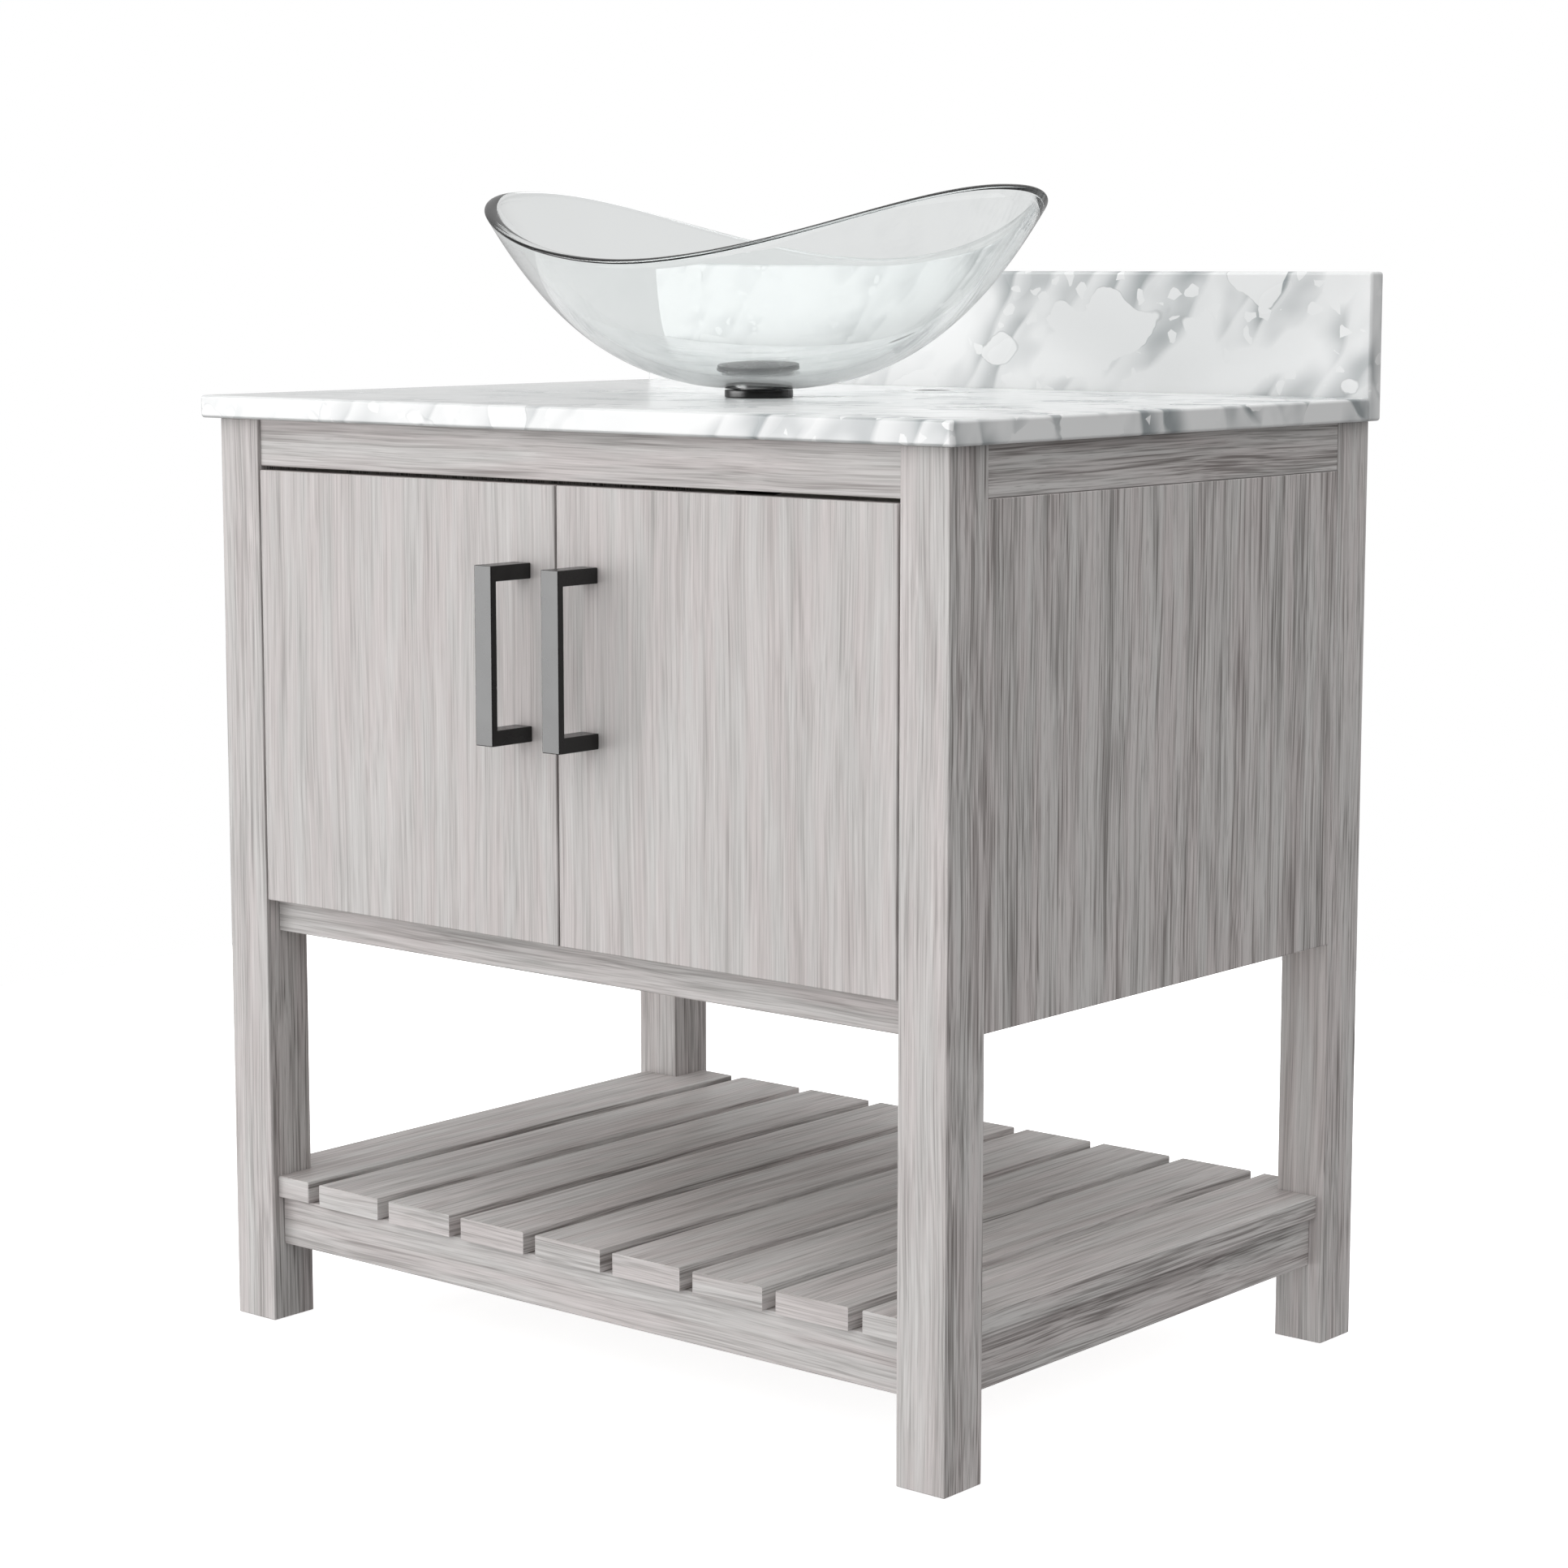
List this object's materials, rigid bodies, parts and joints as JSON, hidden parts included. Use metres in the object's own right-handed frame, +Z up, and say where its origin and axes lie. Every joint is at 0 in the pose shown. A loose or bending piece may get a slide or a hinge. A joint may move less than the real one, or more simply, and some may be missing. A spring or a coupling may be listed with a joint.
{
  "type": "vessel sink on vanity",
  "caption": "Oval glass vessel bowl on a veined stone top, over a washed wood vanity with two hinged doors and an open slatted shelf.",
  "frame": {"origin": "on the floor, in the middle of the whole object's footprint, handles and backsplash included", "axes": "+Z up, front with the doors towards -Y, +X to the right of a person facing the front"},
  "size_m": [0.787, 0.605, 0.9539],
  "materials": {
    "washed_wood": "satin",
    "plain_board": "matte",
    "marble": "polished",
    "clear_glass": "polished",
    "black_metal": "satin",
    "steel": "satin",
    "rubber": "matte",
    "chrome": "polished"
  },
  "bodies": {
    "vanity": {"back_panel": "plain_board", "backsplash": "marble", "bottom_rail_front": "washed_wood", "bottom_rail_rear": "washed_wood", "cabinet_floor": "plain_board", "corner_block_front_left": "plain_board", "corner_block_front_right": "plain_board", "corner_block_rear_left": "plain_board", "corner_block_rear_right": "plain_board", "counter_washer": "rubber", "countertop": "marble", "drain_body": "black_metal", "drain_nut": "steel", "flange_gasket": "rubber", "glass_bowl": "clear_glass", "hinge_arm_left_lower": "steel", "hinge_arm_left_upper": "steel", "hinge_arm_right_lower": "steel", "hinge_arm_right_upper": "steel", "hinge_cleat_left": "plain_board", "hinge_cleat_right": "plain_board", "leg_front_left": "washed_wood", "leg_front_right": "washed_wood", "leg_rear_left": "washed_wood", "leg_rear_right": "washed_wood", "mounting_ring": "black_metal", "shelf_rail_front": "washed_wood", "shelf_rail_left": "washed_wood", "shelf_rail_rear": "washed_wood", "shelf_rail_right": "washed_wood", "shelf_slat_1": "washed_wood", "shelf_slat_2": "washed_wood", "shelf_slat_3": "washed_wood", "shelf_slat_4": "washed_wood", "shelf_slat_5": "washed_wood", "shelf_slat_6": "washed_wood", "shelf_slat_7": "washed_wood", "shelf_slat_8": "washed_wood", "shelf_slat_9": "washed_wood", "side_panel_left": "washed_wood", "side_panel_right": "washed_wood", "tailpiece": "chrome", "top_rail_front": "washed_wood", "top_rail_left": "washed_wood", "top_rail_rear": "washed_wood", "top_rail_right": "washed_wood"},
    "door_left": {"door_left": "washed_wood", "handle_left": "black_metal", "handle_screw_left_lower": "steel", "handle_screw_left_upper": "steel", "hinge_cup_left_lower": "steel", "hinge_cup_left_upper": "steel"},
    "door_right": {"door_right": "washed_wood", "handle_right": "black_metal", "handle_screw_right_lower": "steel", "handle_screw_right_upper": "steel", "hinge_cup_right_lower": "steel", "hinge_cup_right_upper": "steel"},
    "popup_cap": {"popup_cap": "black_metal"}
  },
  "joints": [
    {"name": "door_left_hinge", "type": "hinge", "parent": "vanity", "child": "door_left", "pos_m": [-0.3356, -0.2581, 0.54465], "axis": [0, 0, -1], "range_deg": [0, 100]},
    {"name": "door_right_hinge", "type": "hinge", "parent": "vanity", "child": "door_right", "pos_m": [0.3356, -0.2581, 0.54465], "axis": [0, 0, 1], "range_deg": [0, 100]},
    {"name": "popup_cap_lift", "type": "slide", "parent": "vanity", "child": "popup_cap", "axis": [0, 0, 1], "range_m": [0, 0.008]}
  ]
}
